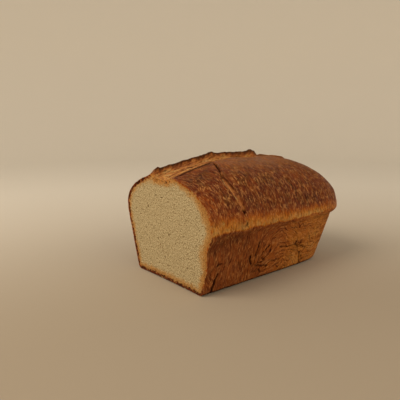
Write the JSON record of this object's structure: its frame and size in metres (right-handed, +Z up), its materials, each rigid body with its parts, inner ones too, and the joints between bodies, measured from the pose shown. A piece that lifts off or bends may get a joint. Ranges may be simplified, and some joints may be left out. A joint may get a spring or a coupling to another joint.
{
  "type": "tin loaf",
  "caption": "White tin loaf with one end cut off: browned domed crust with a torn slash and ear, flat cut face of fine pale crumb.",
  "frame": {"origin": "on the base plane, under the middle of the bounding box", "axes": "+Z up from the flat base; X along the loaf, with the cut face looking towards -X and the baked end towards +X; the front long side looks towards -Y"},
  "size_m": [0.2196, 0.1444, 0.1281],
  "materials": {
    "crust": "satin browned bread crust, darker on top and golden above the rim line",
    "crumb": "matt pale crumb with fine even pores"
  },
  "bodies": {
    "root": {"loaf": "crust"}
  },
  "joints": []
}
